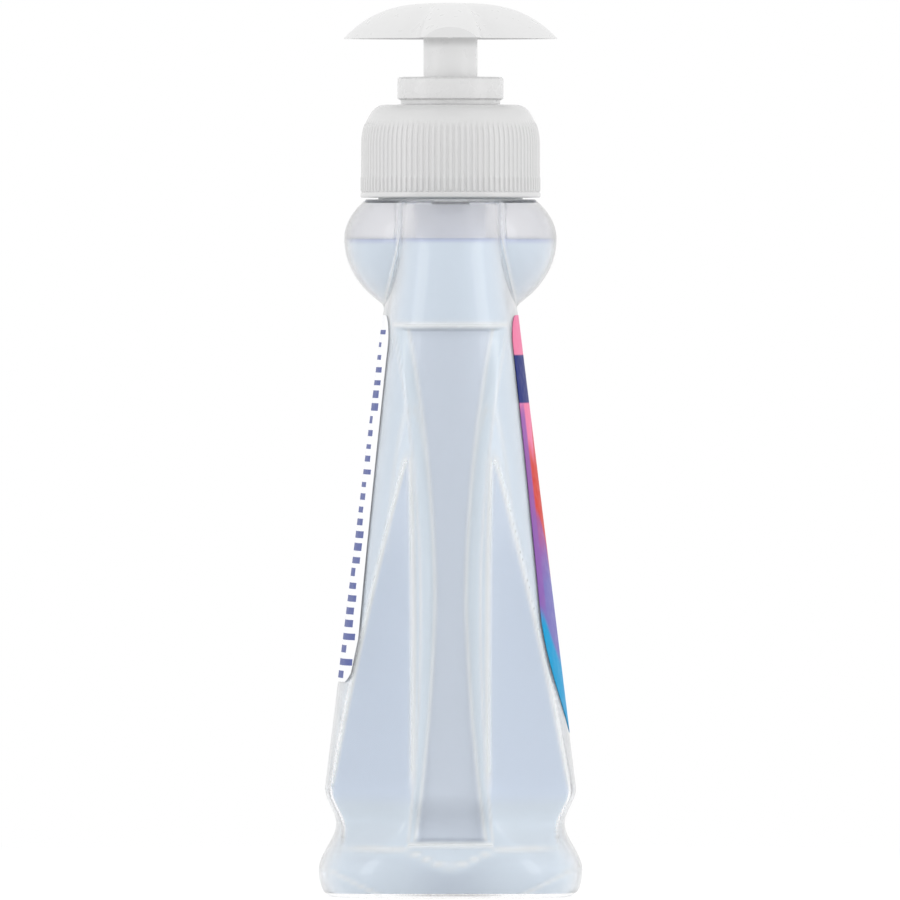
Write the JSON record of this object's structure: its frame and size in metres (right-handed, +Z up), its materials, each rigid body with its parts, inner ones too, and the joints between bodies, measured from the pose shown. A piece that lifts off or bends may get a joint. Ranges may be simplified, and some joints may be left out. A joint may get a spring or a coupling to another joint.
{
  "type": "hand soap pump bottle",
  "caption": "Clear flared soap bottle with a ball shoulder, side grips, a ribbed screw closure and a press pump with a wide saddle head.",
  "frame": {"origin": "centre of the base on the plane it rests on", "axes": "+Z up, the front label faces -Y, the wide axis of the bottle is X and the spout points to -X"},
  "size_m": [0.07, 0.0562, 0.1898],
  "materials": {
    "clear_plastic": "clear blown plastic, smooth gloss",
    "soap": "pale blue clear liquid",
    "front_film": "glossy printed film",
    "back_film": "glossy printed film",
    "white_plastic": "white moulded plastic, satin gloss",
    "natural_plastic": "natural translucent moulded plastic",
    "seal_foam": "soft foam liner",
    "seal_plastic": "soft natural plastic",
    "spring_steel": "bright drawn wire"
  },
  "bodies": {
    "container": {"bottle": "clear_plastic", "liquid_soap": "soap", "front_label": "front_film", "back_label": "back_film"},
    "pump": {"pump_housing": "natural_plastic", "lock_collar": "white_plastic", "neck_gasket": "seal_foam", "valve_cage": "natural_plastic", "dip_tube": "natural_plastic", "return_spring": "spring_steel"},
    "cap": {"closure": "white_plastic"},
    "piston": {"piston_seal": "seal_plastic"},
    "plunger": {"pump_head": "white_plastic", "pump_stem": "natural_plastic", "piston_rod": "natural_plastic"},
    "inlet_valve": {"check_ball": "spring_steel"}
  },
  "joints": [
    {"name": "pump_lift", "type": "slide", "parent": "container", "child": "pump", "axis": [0, 0, 1], "range_m": [0, 0.00634]},
    {"name": "closure_turn", "type": "hinge", "parent": "pump", "child": "cap", "pos_m": [0, 0, 0.158], "axis": [0, 0, 1], "range_deg": [0, 540]},
    {"name": "head_press", "type": "slide", "parent": "pump", "child": "piston", "axis": [0, 0, -1], "range_m": [0, 0.007], "stiffness_N_per_m": 450, "springref_m": -0.009, "deforming": ["return_spring"]},
    {"name": "head_swivel", "type": "hinge", "parent": "piston", "child": "plunger", "pos_m": [0, 0, 0.18], "axis": [0, 0, 1], "continuous": true},
    {"name": "ball_rise", "type": "slide", "parent": "pump", "child": "inlet_valve", "axis": [0, 0, 1], "range_m": [0, 0.0012]}
  ],
  "couplings": [
    {"joint": "closure_turn", "follows": "pump_lift", "rad_per_m": 1485.4}
  ]
}
